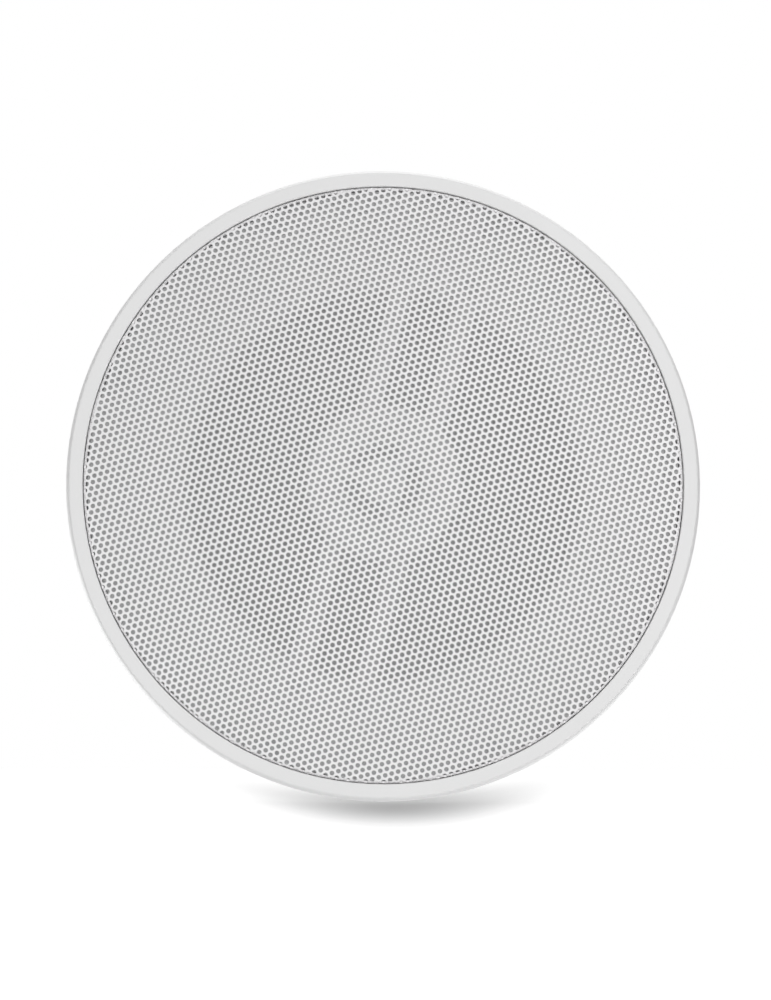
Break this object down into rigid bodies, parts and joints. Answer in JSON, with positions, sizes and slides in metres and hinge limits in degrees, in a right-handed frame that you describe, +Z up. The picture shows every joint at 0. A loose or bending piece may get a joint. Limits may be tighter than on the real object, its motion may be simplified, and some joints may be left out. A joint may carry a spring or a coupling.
{
  "type": "pendant speaker",
  "caption": "White pendant loudspeaker: moulded bell with a domed perforated grille over a coaxial driver, hung from a steel tab.",
  "frame": {"origin": "centre of the hanging hole in the steel tab", "axes": "+Z up along the bell's axis as it hangs, grille facing -Z; +Y along the hanging hole's axis"},
  "size_m": [0.238, 0.238, 0.27],
  "materials": {
    "white_abs": "fine moulded texture",
    "powder_coat": "white powder coat",
    "grille_cloth": "woven polyester",
    "black_rubber": "satin",
    "foam": "closed-cell foam",
    "black_frame": "black lacquer",
    "cone_paper": "pressed pulp",
    "spider_cloth": "resin-dipped cloth",
    "former": "kraft",
    "copper_wire": "enamelled copper",
    "zinc_steel": "zinc plate",
    "ferrite": "ground ferrite",
    "magnet_metal": "nickel plate",
    "dome_silk": "coated silk",
    "black_plastic": "moulded",
    "gland_nylon": "light grey nylon",
    "green_plastic": "moulded",
    "core_iron": "varnished sheets",
    "bobbin_tape": "yellow tape",
    "board": "solder mask",
    "capacitor_box": "moulded box",
    "resistor_ceramic": "cement",
    "wadding": "polyester fibre"
  },
  "bodies": {
    "housing": {"enclosure": "white_abs", "baffle": "white_abs", "baffle_gasket": "foam", "baffle_screws": "zinc_steel", "grille": "powder_coat", "grille_cloth": "grille_cloth", "woofer_frame": "black_frame", "frame_gasket": "foam", "frame_screws": "zinc_steel", "surround": "black_rubber", "spider": "spider_cloth", "top_plate": "zinc_steel", "ring_magnet": "ferrite", "pole_yoke": "zinc_steel", "tweeter_bridge": "powder_coat", "bridge_screws": "zinc_steel", "tweeter_housing": "white_abs", "housing_screws": "zinc_steel", "tweeter_chassis": "black_plastic", "tweeter_surround": "dome_silk", "tweeter_plate": "zinc_steel", "tweeter_magnet": "magnet_metal", "tweeter_pot": "zinc_steel", "terminal_cap": "white_abs", "cap_screws": "zinc_steel", "hanger": "powder_coat", "hanger_bolts": "zinc_steel", "hanger_nuts": "zinc_steel", "backing_plate": "zinc_steel", "gland_body": "gland_nylon", "gland_nut": "gland_nylon", "gland_seal": "black_rubber", "gland_locknut": "gland_nylon", "terminal_header": "green_plastic", "terminal_plug": "green_plastic", "clamp_screws": "zinc_steel", "tap_switch": "black_plastic", "transformer_core": "core_iron", "transformer_winding": "bobbin_tape", "transformer_strap": "zinc_steel", "strap_screws": "zinc_steel", "crossover_board": "board", "board_screws": "zinc_steel", "choke": "copper_wire", "capacitors": "capacitor_box", "resistor": "resistor_ceramic", "wadding": "wadding"},
    "woofer_diaphragm": {"cone": "cone_paper", "dust_cap": "cone_paper", "coil_former": "former", "voice_coil": "copper_wire"},
    "tweeter_diaphragm": {"tweeter_dome": "dome_silk", "tweeter_coil": "copper_wire"},
    "selector": {"tap_knob": "black_plastic", "tap_spindle": "zinc_steel"}
  },
  "joints": [
    {"name": "woofer_stroke", "type": "slide", "parent": "housing", "child": "woofer_diaphragm", "axis": [0, 0, -1], "range_m": [-0.004, 0.004], "stiffness_N_per_m": 1200, "deforming": ["surround", "spider"]},
    {"name": "tweeter_stroke", "type": "slide", "parent": "housing", "child": "tweeter_diaphragm", "axis": [0, 0, -1], "range_m": [-0.0003, 0.0003], "stiffness_N_per_m": 400, "deforming": ["tweeter_surround"]},
    {"name": "selector_turn", "type": "hinge", "parent": "housing", "child": "selector", "pos_m": [0.024, -0.021, -0.051], "axis": [0, 0, 1], "range_deg": [0, 150]}
  ]
}
